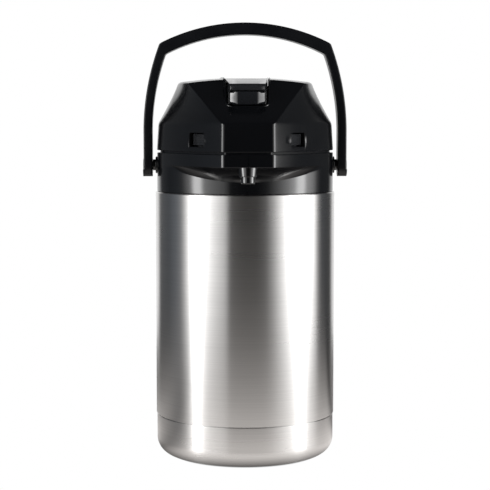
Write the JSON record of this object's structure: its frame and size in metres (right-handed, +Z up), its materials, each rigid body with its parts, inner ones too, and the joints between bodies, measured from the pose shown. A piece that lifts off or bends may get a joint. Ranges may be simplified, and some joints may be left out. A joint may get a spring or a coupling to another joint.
{
  "type": "thermal coffee airpot",
  "caption": "Lever-action thermal airpot with a brushed steel vacuum flask, pouring beak, pump lid, latch tabs and a swinging carrying bail.",
  "frame": {"origin": "centre of the base plate's underside, on the flask's axis", "axes": "+Z up the flask, -Y towards the pouring beak, +X to the right of someone facing the beak"},
  "size_m": [0.1822, 0.198, 0.3867],
  "materials": {
    "brushed_steel": "brushed round the flask",
    "plain_steel": "fine satin",
    "gloss_black": "moulded gloss",
    "lid_black": "moulded semi-gloss",
    "matte_black": "fine moulded grain",
    "lever_satin": "satin",
    "gloss_insert": "polished",
    "nozzle_black": "polished",
    "base_plastic": "matt",
    "inner_plastic": "moulded",
    "seal_rubber": "silicone",
    "bellows_rubber": "moulded"
  },
  "bodies": {
    "body": {"outer_shell": "brushed_steel", "vacuum_bottom": "plain_steel", "inner_liner": "plain_steel", "base_cup": "brushed_steel", "base_plate": "base_plastic", "collar": "gloss_black", "neck_ring": "inner_plastic", "flask_gasket": "seal_rubber", "siphon_tube": "plain_steel", "siphon_sleeve": "seal_rubber", "pouring_pipe": "inner_plastic", "nozzle_ring": "nozzle_black", "nozzle_tip": "nozzle_black", "hinge_pin": "plain_steel", "handle_pin_left": "inner_plastic", "handle_pin_right": "inner_plastic"},
    "handle": {"handle_bail": "matte_black", "handle_cap_left": "matte_black", "handle_cap_right": "matte_black"},
    "lid": {"lid_shell": "lid_black", "lid_plate": "inner_plastic", "lid_gasket": "seal_rubber", "valve_disc": "seal_rubber", "lid_screws": "plain_steel", "lever_pin": "plain_steel", "bellows": "bellows_rubber", "pump_spring": "plain_steel"},
    "lever": {"lever_arm": "lever_satin", "lever_insert": "gloss_insert"},
    "pump": {"pressure_plate": "inner_plastic"},
    "latch_left": {"latch_tab_left": "lever_satin"},
    "latch_right": {"latch_tab_right": "lever_satin"}
  },
  "joints": [
    {"name": "handle_swing", "type": "hinge", "parent": "body", "child": "handle", "pos_m": [0, 0, 0.26075], "axis": [-1, 0, 0], "range_deg": [0, 110]},
    {"name": "lid_open", "type": "hinge", "parent": "body", "child": "lid", "pos_m": [0, 0.081, 0.279], "axis": [-1, 0, 0], "range_deg": [0, 16]},
    {"name": "lever_press", "type": "hinge", "parent": "lid", "child": "lever", "pos_m": [0, 0.05, 0.3283], "axis": [1, 0, 0], "range_deg": [0, 11]},
    {"name": "pump_press", "type": "slide", "parent": "lid", "child": "pump", "axis": [0, 0, -1], "range_m": [0, 0.0098], "stiffness_N_per_m": 800, "springref_m": -0.01, "deforming": ["bellows", "pump_spring"]},
    {"name": "latch_left_press", "type": "slide", "parent": "lid", "child": "latch_left", "axis": [0.829, 0.5592, 0], "range_m": [0, 0.003], "stiffness_N_per_m": 600, "springref_m": -0.003},
    {"name": "latch_right_press", "type": "slide", "parent": "lid", "child": "latch_right", "axis": [-0.829, 0.5592, 0], "range_m": [0, 0.003], "stiffness_N_per_m": 600, "springref_m": -0.003}
  ],
  "couplings": [
    {"joint": "pump_press", "follows": "lever_press", "m_per_rad": 0.05}
  ]
}
